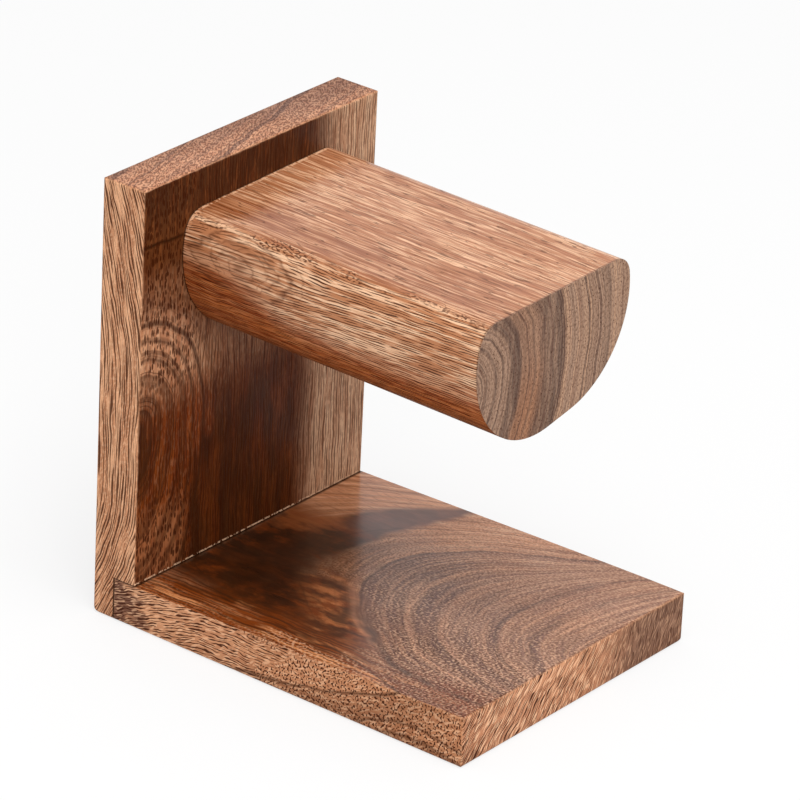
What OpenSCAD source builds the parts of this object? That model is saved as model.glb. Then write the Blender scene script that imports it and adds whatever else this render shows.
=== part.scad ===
// Small watch and jewelry stand: a base board, an upright back board and a D-shaped bar.
// The back board is rebated at its foot. Its front half stands on the base board, and its
// lip runs down behind the base board's end to the table. The bar is butted to the back.
// Millimetres. Origin at the middle of the footprint, on the table. +Z up, front is -Y.

/* [Boards] */
// Width of the base and back boards, left to right
board_w = 77; // [60:0.5:110]
// Overall depth, front of the base to the rear of the back board
stand_d = 101; // [90:0.5:150]
// Overall height, table to the top of the back board
stand_h = 102; // [85:0.5:150]
// Thickness of the base board at its front edge
base_front_t = 11.8; // [9:0.1:16]
// Thickness of the base board at its rear end, under the back board
base_rear_t = 10; // [9:0.1:16]
// Thickness of the back board
back_t = 11.5; // [9:0.1:18]
// Thickness of the back board's lip, behind the end of the base board
lip_t = 5.8; // [4.5:0.1:7.5]

/* [Bar] */
// Length of the bar, back board to free end
bar_len = 78.5; // [50:0.5:85]
// Greatest width of the bar
bar_w = 51.6; // [46:0.1:60]
// Height of the bar, planed flat down to the lowest point
bar_h = 31.5; // [28:0.1:38]
// Radius of the bar's round sides
bar_side_r = 22; // [19:0.1:22.8]
// Radius of the shoulders between the flat and the round sides
bar_shoulder_r = 5.3; // [3:0.1:7]
// How much higher the underside lies at the right than at the left, as rounded by eye
bar_skew = 1.3; // [0:0.1:4]
// How far the bar's flat lies below the top of the back board, where they meet
bar_drop = 8.4; // [4:0.1:14]
// Fall of the bar towards its free end, in degrees, as the hand-made joint set it
bar_fall = 1; // [0:0.1:2]
// Lean of the bar to the left, in degrees
bar_lean = 1.2; // [0:0.1:2]

/* [Edges] */
// Easing of the boards' upper and upright edges
edge_r = 0.6; // [0.3:0.1:1.2]
// Easing of the edges round the foot
foot_r = 0.9; // [0.5:0.1:2]
// Rounding of the foot's right-hand edge, which was sanded harder
foot_right_r = 2.2; // [0.5:0.1:3]
// Rounding of the back board's lower rear edge
heel_r = 2.3; // [1:0.1:3]
// Easing of the edges along the joints
joint_r = 0.3; // [0.15:0.05:0.5]

/* [Screws] */
// Half the distance between the two screws into the bar
bar_screw_x = 11; // [7:0.5:13]
// Depth of the bar's screws below the flat
bar_screw_drop = 14; // [11:0.5:18]
// Length of the bar's screws
bar_screw_len = 40; // [30:1:45]
// Shank diameter of the bar's screws
bar_screw_d = 4; // [3:0.1:4.5]
// Distance of the base board's screws from its sides
base_screw_inset = 14.5; // [8:0.5:26]
// Height of the base board's screws above the table
base_screw_z = 5.4; // [4.8:0.1:5.8]
// Length of the base board's screws
base_screw_len = 25; // [18:1:35]
// Shank diameter of the base board's screws
base_screw_d = 3; // [2.5:0.1:3.4]
// Depth of the screw heads below the rear face
head_sink = 0.3; // [0.1:0.1:0.8]
// Gap round a screw in its hole
screw_gap = 0.05; // [0.03:0.01:0.1]

/* [Hidden] */
$fn = 96;

// Faces that several pieces share
front_y = -stand_d / 2;
rear_y = stand_d / 2;
panel_y = rear_y - back_t;
lip_y = rear_y - lip_t;
bar_top_z = stand_h - bar_drop;
bar_mid_z = bar_top_z - bar_h / 2;
// Half the distance between the base board's screws
base_screw_x = board_w / 2 - base_screw_inset;

// Centres of the bar's four arcs, as [x, z]
side_x = bar_w / 2 - bar_side_r;
left_side = [-side_x, bar_top_z - bar_h + bar_side_r];
right_side = [side_x, left_side[1] + bar_skew];
left_shoulder = shoulder_centre(left_side, -1);
right_shoulder = shoulder_centre(right_side, 1);

// Proportions of a countersunk wood screw, as shares of its shank
head_share = 2;
core_share = 0.7;
point_share = 1.6;
smooth_share = 0.33;
recess_share = 1.1;
slot_share = 0.24;
// Room left in the pilot hole beyond the screw's point
pilot_spare = 1;
// Overrun of a cut past the face that it leaves
cut = 1;

// A shoulder touches the flat and the inside of its side arc
function shoulder_centre(side, way) =
    let (z = bar_top_z - bar_shoulder_r)
    let (reach = bar_side_r - bar_shoulder_r)
    [side[0] + way * sqrt(reach * reach - pow(z - side[1], 2)), z];

function unit(v) = v / norm(v);

// Outline through the points, with a true arc of its own radius at each convex corner
module eased_outline(points, radii) {
    n = len(points);
    polygon([
        for (i = [0:n - 1])
            let (u = unit(points[(i + n - 1) % n] - points[i]))
            let (v = unit(points[(i + 1) % n] - points[i]))
            let (reach = radii[i] / tan(acos(u * v) / 2))
            for (q = radii[i] > 0 ? [u * reach, v * reach] : [[0, 0]]) points[i] + q
    ]);
    for (i = [0:n - 1]) {
        u = unit(points[(i + n - 1) % n] - points[i]);
        v = unit(points[(i + 1) % n] - points[i]);
        if (radii[i] > 0)
            translate(points[i] + unit(u + v) * radii[i] / sin(acos(u * v) / 2))
                circle(r = radii[i]);
    }
}

// Prism of a side view, drawn in [y, z], across the boards' width
module across(width) {
    rotate([90, 0, 90])
        translate([0, 0, -width / 2])
            linear_extrude(width)
                children();
}

// Prism of a front view, drawn in [x, z], from y0 to y1
module along(y0, y1) {
    translate([0, y1, 0])
        rotate([90, 0, 0])
            linear_extrude(y1 - y0)
                children();
}

// Front view of a board of height h, with its corners eased
module front_view(h) {
    x = board_w / 2;
    eased_outline([[-x, 0], [x, 0], [x, h], [-x, h]], [foot_r, foot_right_r, edge_r, edge_r]);
}

// Plan view of a board from y0 to y1, with its front and rear corners eased
module plan_view(y0, y1, front_r, rear_r) {
    x = board_w / 2;
    eased_outline([[-x, y0], [x, y0], [x, y1], [-x, y1]], [front_r, front_r, rear_r, rear_r]);
}

// Countersunk wood screw along +Z from its head, or, with a gap, the hole that it needs
module screw_form(length, d, gap) {
    head_r = d * head_share / 2;
    shank_r = d / 2;
    core_r = shank_r * core_share;
    head_h = head_r - shank_r;
    smooth_end = head_h + (length - head_h) * smooth_share;
    point = d * point_share;
    rotate_extrude()
        polygon([
            [0, 0],
            [head_r + gap, 0],
            [shank_r + gap, head_h],
            [shank_r + gap, smooth_end],
            [core_r + gap, smooth_end + shank_r - core_r],
            [core_r + gap, length - (gap > 0 ? 0 : point)],
            [gap > 0 ? core_r + gap : 0.1, length + (gap > 0 ? pilot_spare : 0)],
            [0, length + (gap > 0 ? pilot_spare : 0)]
        ]);
}

// Cross recess, tapering with depth
module cross_recess(d) {
    arm = d * recess_share / 2;
    depth = d * recess_share / 2;
    slot = d * slot_share;
    intersection() {
        translate([0, 0, -cut])
            cylinder(h = depth + cut, r1 = arm + cut / 2, r2 = arm / 2);
        union() {
            translate([-2 * arm, -slot / 2, -cut])
                cube([4 * arm, slot, depth + 2 * cut]);
            translate([-slot / 2, -2 * arm, -cut])
                cube([slot, 4 * arm, depth + 2 * cut]);
        }
    }
}

module wood_screw(length, d) {
    color("#b9b4ab")
        difference() {
            screw_form(length, d, 0);
            cross_recess(d);
        }
}

// Hole for a screw, with the countersink open to the rear
module screw_hole(length, d) {
    screw_form(length, d, screw_gap);
    translate([0, 0, -head_sink - cut])
        cylinder(h = head_sink + cut, r = d * head_share / 2 + screw_gap);
}

// Screws run forward from just under the rear face
module at_screw(x, z) {
    translate([x, rear_y - head_sink, z])
        rotate([90, 0, 0])
            children();
}

module bar_screw_holes() {
    for (x = [-bar_screw_x, bar_screw_x])
        at_screw(x, bar_top_z - bar_screw_drop)
            screw_hole(bar_screw_len, bar_screw_d);
}

module base_screw_holes() {
    for (x = [-base_screw_x, base_screw_x])
        at_screw(x, base_screw_z)
            screw_hole(base_screw_len, base_screw_d);
}

// The base board is level under the back board and swells a little towards its front edge
module base_plate() {
    color("#96694d")
        difference() {
            intersection() {
                across(board_w)
                    eased_outline(
                        [[front_y, 0], [lip_y, 0], [lip_y, base_rear_t],
                            [panel_y, base_rear_t], [front_y, base_front_t]],
                        [foot_r, joint_r, joint_r, 0, edge_r]);
                along(front_y, lip_y)
                    front_view(max(base_front_t, base_rear_t));
                linear_extrude(stand_h)
                    plan_view(front_y, lip_y, edge_r, joint_r);
            }
            base_screw_holes();
        }
}

// The rebate leaves the lip behind the base board's end and the front half on top of it
module back_panel() {
    color("#84553a")
        difference() {
            intersection() {
                across(board_w)
                    eased_outline(
                        [[lip_y, 0], [rear_y, 0], [rear_y, stand_h], [panel_y, stand_h],
                            [panel_y, base_rear_t], [lip_y, base_rear_t]],
                        [joint_r, heel_r, edge_r, edge_r, joint_r, 0]);
                along(panel_y, rear_y)
                    front_view(stand_h);
                linear_extrude(stand_h)
                    plan_view(panel_y, rear_y, edge_r, edge_r);
            }
            bar_screw_holes();
            base_screw_holes();
        }
}

// Section of the bar: two round sides joined by a short belly, and a planed flat
// that runs into the sides over two small shoulders
module bar_section() {
    out = bar_w;
    left_ray = unit(left_shoulder - left_side) * out;
    right_ray = unit(right_shoulder - right_side) * out;
    belly = unit(right_side - left_side) * bar_side_r;
    down = [belly[1], -belly[0]];
    intersection() {
        union() {
            translate(left_side)
                circle(r = bar_side_r);
            translate(right_side)
                circle(r = bar_side_r);
            polygon([left_side, left_side + down, right_side + down, right_side]);
            polygon([left_side, right_side, right_shoulder, left_shoulder]);
        }
        polygon([left_shoulder, left_side + left_ray, [-out, 0], [out, 0],
            right_side + right_ray, right_shoulder]);
    }
    translate(left_shoulder)
        circle(r = bar_shoulder_r);
    translate(right_shoulder)
        circle(r = bar_shoulder_r);
    polygon([left_shoulder, right_shoulder,
        [right_shoulder[0], bar_top_z], [left_shoulder[0], bar_top_z]]);
}

// The bar is cut off flush with the back board, which it meets at a slight angle
module watch_bar() {
    color("#a8744f")
        difference() {
            intersection() {
                translate([0, panel_y, bar_mid_z])
                    rotate([bar_fall, -bar_lean, 0])
                        translate([0, 0, -bar_mid_z])
                            along(-bar_len, bar_w)
                                bar_section();
                along(panel_y - 2 * bar_len, panel_y)
                    square([4 * bar_w, 4 * stand_h], center = true);
            }
            bar_screw_holes();
        }
}

module bar_screw_left() {
    at_screw(-bar_screw_x, bar_top_z - bar_screw_drop)
        wood_screw(bar_screw_len, bar_screw_d);
}

module bar_screw_right() {
    at_screw(bar_screw_x, bar_top_z - bar_screw_drop)
        wood_screw(bar_screw_len, bar_screw_d);
}

module base_screw_left() {
    at_screw(-base_screw_x, base_screw_z)
        wood_screw(base_screw_len, base_screw_d);
}

module base_screw_right() {
    at_screw(base_screw_x, base_screw_z)
        wood_screw(base_screw_len, base_screw_d);
}

base_plate();
back_panel();
watch_bar();
bar_screw_left();
bar_screw_right();
base_screw_left();
base_screw_right();
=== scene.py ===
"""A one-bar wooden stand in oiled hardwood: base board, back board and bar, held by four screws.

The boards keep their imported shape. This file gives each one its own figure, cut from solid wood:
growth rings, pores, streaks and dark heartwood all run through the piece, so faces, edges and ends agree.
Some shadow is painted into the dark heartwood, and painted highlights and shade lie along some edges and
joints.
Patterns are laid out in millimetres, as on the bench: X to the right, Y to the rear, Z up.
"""
import math

import bpy
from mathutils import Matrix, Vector


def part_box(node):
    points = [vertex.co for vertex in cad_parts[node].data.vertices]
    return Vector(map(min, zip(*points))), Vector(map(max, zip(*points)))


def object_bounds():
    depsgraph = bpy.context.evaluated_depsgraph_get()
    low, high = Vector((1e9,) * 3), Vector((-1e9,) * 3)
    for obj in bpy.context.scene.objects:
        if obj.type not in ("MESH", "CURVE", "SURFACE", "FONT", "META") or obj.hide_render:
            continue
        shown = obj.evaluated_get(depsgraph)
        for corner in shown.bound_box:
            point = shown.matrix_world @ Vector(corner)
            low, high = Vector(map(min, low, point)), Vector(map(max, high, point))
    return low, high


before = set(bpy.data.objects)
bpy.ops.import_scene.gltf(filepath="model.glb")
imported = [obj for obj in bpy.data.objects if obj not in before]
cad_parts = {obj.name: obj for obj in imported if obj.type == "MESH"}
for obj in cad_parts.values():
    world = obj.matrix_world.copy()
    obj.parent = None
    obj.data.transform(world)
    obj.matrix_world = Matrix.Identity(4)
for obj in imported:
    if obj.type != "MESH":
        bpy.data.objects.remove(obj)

CAD_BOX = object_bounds()

# Millimetres in one metre
MM = 1000.0

# Camera, fitted to the stand's own corners in the photograph
CAMERA_PLACE = (-0.87413, -0.67205, 0.58345)
CAMERA_TURN = (64.327, -2.532, -51.249)
CAMERA_LENS = 260.4
CAMERA_SENSOR = 36.0
CAMERA_NEAR = 0.01
CAMERA_FAR = 20.0

# Studio light: a white room, a large soft box overhead and a smaller one at the front left
WHITE = (1, 1, 1, 1)
ROOM_LIGHT = 0.62
TOP_BOX = dict(place=(-0.25, -0.35, 1.25), size=0.9, power=9.5)
FRONT_BOX = dict(place=(-0.9, -0.95, 0.75), size=0.6, power=5.0)
FLOOR_SIZE = 8.0
FLOOR_GREY = 0.88
FLOOR_LIFT = 0.74

# Ways that a face can look
LEFT = (-1, 0, 0)
RIGHT = (1, 0, 0)
FRONT = (0, -1, 0)
UP = (0, 0, 1)
DOWN = (0, 0, -1)

# A quarter turn about X lays streaks, which stand along Z, down along Y
ALONG_Y = (math.radians(-90), 0, 0)


def tone(red, green, blue):
    """A colour as a paint card gives it, 0 to 255, turned into the renderer's own scale."""
    def straight(value):
        value /= 255.0
        return value / 12.92 if value <= 0.04045 else ((value + 0.055) / 1.055) ** 2.4
    return (straight(red), straight(green), straight(blue), 1.0)


def between(share, first, second):
    """The tone that lies a share of the way from one tone to another."""
    return tuple(a + (b - a) * share for a, b in zip(first, second))


# The wood's own tones, under the oil
CREAM = tone(240, 188, 148)
HONEY = tone(224, 168, 128)
TAN = tone(182, 120, 80)
DUN = tone(232, 188, 152)
ASH = tone(146, 101, 72)
DRIFT = tone(170, 135, 111)
MAUVE = tone(116, 74, 62)
GOLD = tone(216, 140, 86)
ROSE = tone(224, 162, 124)
AMBER = tone(128, 58, 12)
RUSSET = tone(166, 92, 46)
CHESTNUT = tone(98, 50, 18)
PLUM = tone(98, 62, 48)
SLATE = tone(74, 54, 46)
WALNUT = tone(66, 32, 9)
COCOA = tone(46, 20, 3)
PORE = tone(60, 21, 1)
SHADE = tone(188, 148, 120)

# The screws' plating, bright and dulled
STEEL = tone(176, 172, 160)
DULL_STEEL = tone(150, 146, 138)


# Node helpers

def feed(tree, socket, value):
    """Give a socket a plain value, or the output of another node."""
    if isinstance(value, bpy.types.NodeSocket):
        tree.links.new(value, socket)
    else:
        socket.default_value = value


def node(tree, kind, inputs=None, **settings):
    """Add a node with its settings, and feed the inputs that are named."""
    made = tree.nodes.new("ShaderNode" + kind)
    for name, value in settings.items():
        setattr(made, name, value)
    for name, value in (inputs or {}).items():
        feed(tree, made.inputs[name], value)
    return made


def calc(tree, how, *values):
    """One step of arithmetic on single values."""
    made = node(tree, "Math", operation=how)
    for socket, value in zip(made.inputs, values):
        feed(tree, socket, value)
    return made.outputs[0]


def times(tree, product, *factors):
    """Values multiplied together."""
    for factor in factors:
        product = calc(tree, "MULTIPLY", product, factor)
    return product


def square(tree, value):
    """A value multiplied by itself."""
    return times(tree, value, value)


def added(tree, value, factor, start):
    """A value times a factor, added to start."""
    return calc(tree, "MULTIPLY_ADD", value, factor, start)


def less(tree, first, second):
    """One value with another taken off."""
    return calc(tree, "SUBTRACT", first, second)


def without(tree, share):
    """1 where a share is 0, and 0 where it is 1."""
    return less(tree, 1.0, share)


def most(tree, first, second):
    """The larger of two values."""
    return calc(tree, "MAXIMUM", first, second)


def least(tree, first, second):
    """The smaller of two values."""
    return calc(tree, "MINIMUM", first, second)


def shift(tree, how, *values, by=None):
    """One step of arithmetic on places."""
    made = node(tree, "VectorMath", operation=how)
    for socket, value in zip(made.inputs, values):
        feed(tree, socket, value)
    if by is not None:
        feed(tree, made.inputs["Scale"], by)
    return made.outputs["Value" if how in ("LENGTH", "DOT_PRODUCT") else "Vector"]


def split(tree, place):
    """The X, Y and Z of a place."""
    return node(tree, "SeparateXYZ", {"Vector": place}).outputs[:3]


def join(tree, x, y, z):
    """A place from its X, Y and Z."""
    return node(tree, "CombineXYZ", {"X": x, "Y": y, "Z": z}).outputs[0]


def fade(tree, value, start, end, low=0.0, high=1.0, how="SMOOTHSTEP"):
    """low where value is at start, high where it is at end, and a smooth way between."""
    sockets = {"Value": value, "From Min": start, "From Max": end, "To Min": low, "To Max": high}
    return node(tree, "MapRange", sockets, interpolation_type=how).outputs["Result"]


def mix(tree, share, under, over, how="MIX"):
    """Lay one colour over another by share."""
    made = node(tree, "Mix", data_type="RGBA", blend_type=how)
    for index, value in ((0, share), (6, under), (7, over)):
        feed(tree, made.inputs[index], value)
    return made.outputs[2]


def laid(tree, share, strength, under, over):
    """Lay a colour over another by a share that is held back by a strength."""
    return mix(tree, times(tree, share, strength), under, over)


def blend(tree, share, under, over):
    """Mix two values: under where share is 0, over where it is 1."""
    made = node(tree, "Mix", data_type="FLOAT")
    for index, value in ((0, share), (2, under), (3, over)):
        feed(tree, made.inputs[index], value)
    return made.outputs[0]


def card(tree, value, stops):
    """A strip of greys read along value. Stops are (place, grey), with places as value counts them."""
    start = stops[0][0]
    end = stops[-1][0]
    made = node(tree, "ValToRGB", {"Fac": fade(tree, value, start, end, how="LINEAR")})
    strip = made.color_ramp.elements
    for index, (place, grey) in enumerate(stops):
        at = (place - start) / (end - start)
        stop = strip[index] if index < 2 else strip.new(at)
        stop.position = at
        stop.color = (grey, grey, grey, 1.0)
    return made.outputs["Color"]


def cloud(tree, place, detail=2.0, roughness=0.5, twist=0.0):
    """Soft noise, one lump to each unit of place."""
    inputs = {"Vector": place, "Scale": 1.0, "Detail": detail, "Roughness": roughness, "Distortion": twist}
    return node(tree, "TexNoise", inputs).outputs


def lumps(tree, place, size, **settings):
    """Soft noise about 0.5, in lumps of a size in millimetres."""
    return cloud(tree, shift(tree, "DIVIDE", place, size), **settings)["Fac"]


def facing(tree, normal, way, start=0.5, end=0.9, low=0.0, high=1.0, both=False):
    """high where the surface looks that way, or the other way too, and low elsewhere."""
    turned = shift(tree, "DOT_PRODUCT", normal, way)
    if both:
        turned = calc(tree, "ABSOLUTE", turned)
    return fade(tree, turned, start, end, low, high)


def as_surface(tree, shader, kind="OutputMaterial"):
    """Make a shader the tree's surface."""
    node(tree, kind, {"Surface": shader.outputs[0]})


# Node groups that the boards share

def group(recipe, result, **inputs):
    """A new node group from a recipe and its inputs: a tuple asks for a place, and a number for a value."""
    kinds = {True: "NodeSocketVector", False: "NodeSocketFloat"}
    tree = bpy.data.node_groups.new(recipe.__name__, "ShaderNodeTree")
    for label, value in inputs.items():
        kind = kinds[isinstance(value, tuple)]
        socket = tree.interface.new_socket(name=label.replace("_", " "), in_out="INPUT", socket_type=kind)
        socket.default_value = value
    tree.interface.new_socket(name=result, in_out="OUTPUT", socket_type=kinds[result == "place"])
    start = tree.nodes.new("NodeGroupInput")
    end = tree.nodes.new("NodeGroupOutput")
    feed(tree, end.inputs[0], recipe(tree, start.outputs))
    return tree


def use(tree, made, *first, **inputs):
    """Place a group in a material. Its first inputs come in order and the rest by name, _ for each space."""
    placed = node(tree, "Group", node_tree=made)
    for socket, value in zip(placed.inputs, first):
        feed(tree, socket, value)
    for name, value in inputs.items():
        feed(tree, placed.inputs[name.replace("_", " ")], value)
    return placed.outputs[0]


def wander(tree, given):
    """Bends straight wood: each place moves by up to reach, in lumps of size."""
    push = cloud(tree, shift(tree, "DIVIDE", given["place"], given["size"]), detail=1.5)["Color"]
    push = shift(tree, "SCALE", shift(tree, "SUBTRACT", push, (0.5, 0.5, 0.5)), by=2.0)
    push = shift(tree, "SCALE", push, by=given["reach"])
    return shift(tree, "ADD", given["place"], push)


WANDER = group(wander, "place", place=(0, 0, 0), size=(20, 20, 20), reach=1.0)


def sweep(tree, given):
    """Leans the grain: past zero, a place moves by sweep times the square of past."""
    past = most(tree, given["past"], 0.0)
    lean = shift(tree, "SCALE", given["sweep"], by=square(tree, past))
    return shift(tree, "ADD", given["place"], lean)


SWEEP = group(sweep, "place", place=(0, 0, 0), past=0.0, sweep=(0, 0, 0))


def arches(tree, given):
    """Arched growth rings, as a plank shows them: along, measured at the top of each arch."""
    low = least(tree, given["across"], 0.0)
    high = most(tree, given["across"], 0.0)
    ring = added(tree, square(tree, low), given["spread low"], given["along"])
    return added(tree, square(tree, high), given["spread high"], ring)


ARCHES = group(arches, "ring", along=0.0, across=0.0, spread_low=0.02, spread_high=0.02)


def hearted_rings(tree, given):
    """Closed rings about a heart: 1 at reach low below and left of it, at reach high above and right."""
    off = shift(tree, "SUBTRACT", given["place"], given["heart"])
    low = shift(tree, "SCALE", shift(tree, "DIVIDE", off, given["reach low"]), by=-1.0)
    high = shift(tree, "DIVIDE", off, given["reach high"])
    return shift(tree, "LENGTH", shift(tree, "MAXIMUM", low, high))


HEARTED_RINGS = group(hearted_rings, "ring", place=(0, 0, 0), heart=(0, 0, 0), reach_low=(1, 1, 1),
                      reach_high=(1, 1, 1))


def fibres(tree, given):
    """Streaks: noise drawn out to size along its own Z and turned by turn, from 0 to 1 about level."""
    sockets = {"Vector": given["place"], "Rotation": given["turn"], "Scale": given["size"]}
    drawn = node(tree, "Mapping", sockets, vector_type="TEXTURE").outputs[0]
    value = cloud(tree, drawn, detail=2.5, roughness=0.55)["Fac"]
    low = less(tree, given["level"], given["softness"])
    high = calc(tree, "ADD", given["level"], given["softness"])
    return fade(tree, value, low, high)


FIBRES = group(fibres, "mask", place=(0, 0, 0), turn=(0, 0, 0), size=(1, 1, 10), level=0.5,
               softness=0.15)


def measured(tree, given):
    """How far a place lies across and along the fibres, counted in lines or pores."""
    across = shift(tree, "DOT_PRODUCT", given["place"], given["across"])
    along = shift(tree, "DOT_PRODUCT", given["place"], given["along"])
    return across, along


def comb(tree, given):
    """Thin torn lines side by side: one to each unit of across, torn about once in a unit of along."""
    across, along = measured(tree, given)
    wave = shift(tree, "MULTIPLY", join(tree, across, along, 0.0), (0.45, 0.6, 1.0))
    wave = less(tree, cloud(tree, wave)["Fac"], 0.5)
    across = added(tree, wave, times(tree, given["wobble"], 4.0), across)
    off = calc(tree, "PINGPONG", across, 0.5)
    torn = cloud(tree, join(tree, across, along, 8.0), detail=1.0)["Fac"]
    width = times(tree, given["width"], fade(tree, torn, 0.36, 0.6, 0.0, 1.25))
    inner = times(tree, width, 0.45)
    return fade(tree, off, inner, calc(tree, "ADD", width, 0.01), 1.0, 0.0)


COMB = group(comb, "mask", place=(0, 0, 0), across=(1, 0, 0), along=(0, 0, 0.2), wobble=0.8, width=0.3)


def nicks(tree, given):
    """Short open pores on a cut face, about one to each unit of across and of along. 1 in a pore."""
    across, along = measured(tree, given)
    cell = node(tree, "TexVoronoi", {"Vector": join(tree, across, along, 0.0), "Scale": 1.0},
                voronoi_dimensions="2D", feature="F1")
    chance = split(tree, cell.outputs["Color"])
    girth = times(tree, given["fill"], fade(tree, chance[0], 0.0, 1.0, 0.6, 1.15))
    mask = fade(tree, cell.outputs["Distance"], times(tree, girth, 0.65), girth, 1.0, 0.0)
    return times(tree, mask, fade(tree, chance[1], 0.0, 0.7, 0.35, 1.0))


NICKS = group(nicks, "mask", place=(0, 0, 0), across=(1, 0, 0), along=(0, 0, 0.4), fill=0.3)


def worms(tree, given):
    """Torn fibres that wind about, some two units of across and of along apart. 1 in a fibre."""
    across, along = measured(tree, given)
    value = cloud(tree, join(tree, across, along, 0.0), detail=0.5)["Fac"]
    high = calc(tree, "ADD", given["level"], 0.04)
    return fade(tree, value, high, less(tree, given["level"], 0.04))


WORMS = group(worms, "mask", place=(0, 0, 0), across=(2, 0, 0), along=(0, 0, 1.4), level=0.5)


def ring_lines(tree, given):
    """Thin growth lines along a ring value, some strong and some faint, about gap apart."""
    along = calc(tree, "DIVIDE", given["ring"], given["gap"])
    value = cloud(tree, join(tree, along, 3.7, 0.0), detail=1.0)["Fac"]
    off = calc(tree, "ABSOLUTE", less(tree, value, 0.5))
    line = fade(tree, off, 0.0, given["width"], 1.0, 0.0)
    strong = cloud(tree, join(tree, times(tree, along, 0.37), 9.1, 0.0))["Fac"]
    return times(tree, line, fade(tree, strong, 0.35, 0.65, 0.15, 1.0))


RING_LINES = group(ring_lines, "mask", ring=0.0, gap=1.5, width=0.05)


def stain(tree, given):
    """A patch of colour with a ragged edge: 1 near centre and 0 past reach."""
    off = shift(tree, "DIVIDE", shift(tree, "SUBTRACT", given["place"], given["centre"]), given["reach"])
    ragged = less(tree, lumps(tree, given["place"], given["grain size"], detail=3.0), 0.5)
    edge = added(tree, times(tree, ragged, given["ragged"]), 2.0, shift(tree, "LENGTH", off))
    return fade(tree, edge, 1.15, 0.55)


STAIN = group(stain, "mask", place=(0, 0, 0), centre=(0, 0, 0), reach=(10, 10, 10),
              ragged=0.6, grain_size=(6, 6, 6))


def worn_and_lit_edges(tree, given):
    """Edges of a squared board, worn by hands and painted as a highlight: 1 on an edge and 0 past width from
    it.
    """
    inside = shift(tree, "MINIMUM", shift(tree, "SUBTRACT", given["place"], given["low"]),
                   shift(tree, "SUBTRACT", given["high"], given["place"]))
    x, y, z = split(tree, inside)
    second = most(tree, least(tree, x, y), least(tree, most(tree, x, y), z))
    rough = cloud(tree, shift(tree, "SCALE", given["place"], by=0.35), detail=3.0)["Fac"]
    edge_band = times(tree, given["width"], fade(tree, rough, 0.3, 0.7, 0.4, 1.3))
    return fade(tree, second, edge_band, 0.0)


WORN_AND_LIT_EDGES = group(worn_and_lit_edges, "mask", place=(0, 0, 0), low=(-1, -1, -1), high=(1, 1, 1), width=1.0)


# Steps that the pieces share

def new_material(name):
    """A material with an empty tree, the place on the piece in millimetres and the way its surface looks."""
    material = bpy.data.materials.new(name)
    material.use_nodes = True
    tree = material.node_tree
    tree.nodes.clear()
    coordinates = node(tree, "TexCoord")
    place = shift(tree, "SCALE", coordinates.outputs["Object"], by=MM)
    return material, tree, place, coordinates.outputs["Normal"]


def fleck(tree, under, place, across, along, share, over=CREAM):
    """Pale torn fibres between the pores."""
    moved = shift(tree, "ADD", place, (5.3, 7.1, 3.7))
    mask = use(tree, WORMS, moved, across=across, along=along, level=0.44)
    return laid(tree, mask, share, under, over)


def worn_and_lit(tree, place, low, high, strength, colour):
    """A board's edges, worn pale by hands and painted lighter as a highlight."""
    edge = use(tree, WORN_AND_LIT_EDGES, place, low=low * MM, high=high * MM, width=0.5)
    # the edges are laid paler: wear, and a painted highlight
    return laid(tree, edge, strength, colour, HONEY)


def oiled(tree, colour, place, pores, polish):
    """Oil soaked into the wood, and a coat of wax by polish, with the pores left open and dull."""
    smear = lumps(tree, place, (14, 14, 14), detail=3.0)
    roughness = added(tree, pores, 0.25, fade(tree, smear, 0.3, 0.7, 0.42, 0.56))
    closed = without(tree, times(tree, pores, 0.5))
    wax = times(tree, polish, closed, fade(tree, smear, 0.3, 0.7, 1.0, 0.85))
    sunk = times(tree, pores, -1.0)
    bump = node(tree, "Bump", {"Height": sunk, "Strength": 0.4, "Distance": 0.00015})
    sockets = {"Base Color": colour, "Roughness": roughness, "Normal": bump.outputs["Normal"],
               "Specular IOR Level": 0.05, "Coat Weight": wax, "Coat Roughness": 0.2}
    as_surface(tree, node(tree, "BsdfPrincipled", sockets))


# Base board: arches open to the front, dark heartwood at the rear with painted shadow in it

# The back board's front face, the base board's top under it, and the lip behind
JOINT_Y = 39.0
JOINT_Z = 10.0
LIP_Y = 44.7

# The top's rise to the front, the rings' dip with depth, the arches' axis and their outermost line
BASE_RISE = 0.0201
BASE_DIP = 4.0
BASE_ARCH_X = 5.5
BASE_OUTER_RING = 5.7

# Strips read along the rings and lines
BASE_BANDS = [(-60, .3), (-47, .35), (-45.8, .6), (-44, .3), (-40.5, .35), (-38.3, .65), (-36, .4),
              (-32, .3), (-29.5, .6), (-27, .5), (-22, .65), (-17, .5), (-14.6, .7), (-11, .85),
              (-8.6, .45), (-7.2, .0), (-5.5, .4), (2, .6), (5.6, .75), (6.6, .1), (60, .0)]
BASE_LINES = [(-60, 0), (-46.7, 0), (-46.2, .7), (-45.7, 0), (-39, 0), (-38.4, .8), (-37.8, 0), (-30.2, 0),
              (-29.6, .9), (-29, 0), (-23.3, 0), (-22.8, .4), (-22.3, 0), (-15.2, 0), (-14.8, .5),
              (-14.3, 0), (5.1, 0), (5.7, 1), (6.4, 0), (22, 0), (22.6, .7), (23.2, 0), (60, 0)]
BASE_LIGHTS = [(-60, 0), (-49, .2), (-41, .4), (-39.5, 0), (-34, .3), (-31, .5), (-30, 0), (-26, .2),
               (-24, .5), (-23.2, 0), (-18, .3), (-15.8, .8), (-15, 0), (-8.2, 0), (-7.2, .8), (-6.2, 0),
               (6.4, .0), (7.6, .4), (10, .0), (60, 0)]
SIDE_LINES = [(-20, .3), (1.2, .35), (2.2, .8), (2.8, 0), (4.4, 0), (4.9, 1), (5.4, .2), (8, 0), (20, 0)]
MARGIN_LINE = [(-40, 0), (-31, 0), (-30.5, .8), (-29.9, .1), (-28, .3), (-20, 0)]


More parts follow.
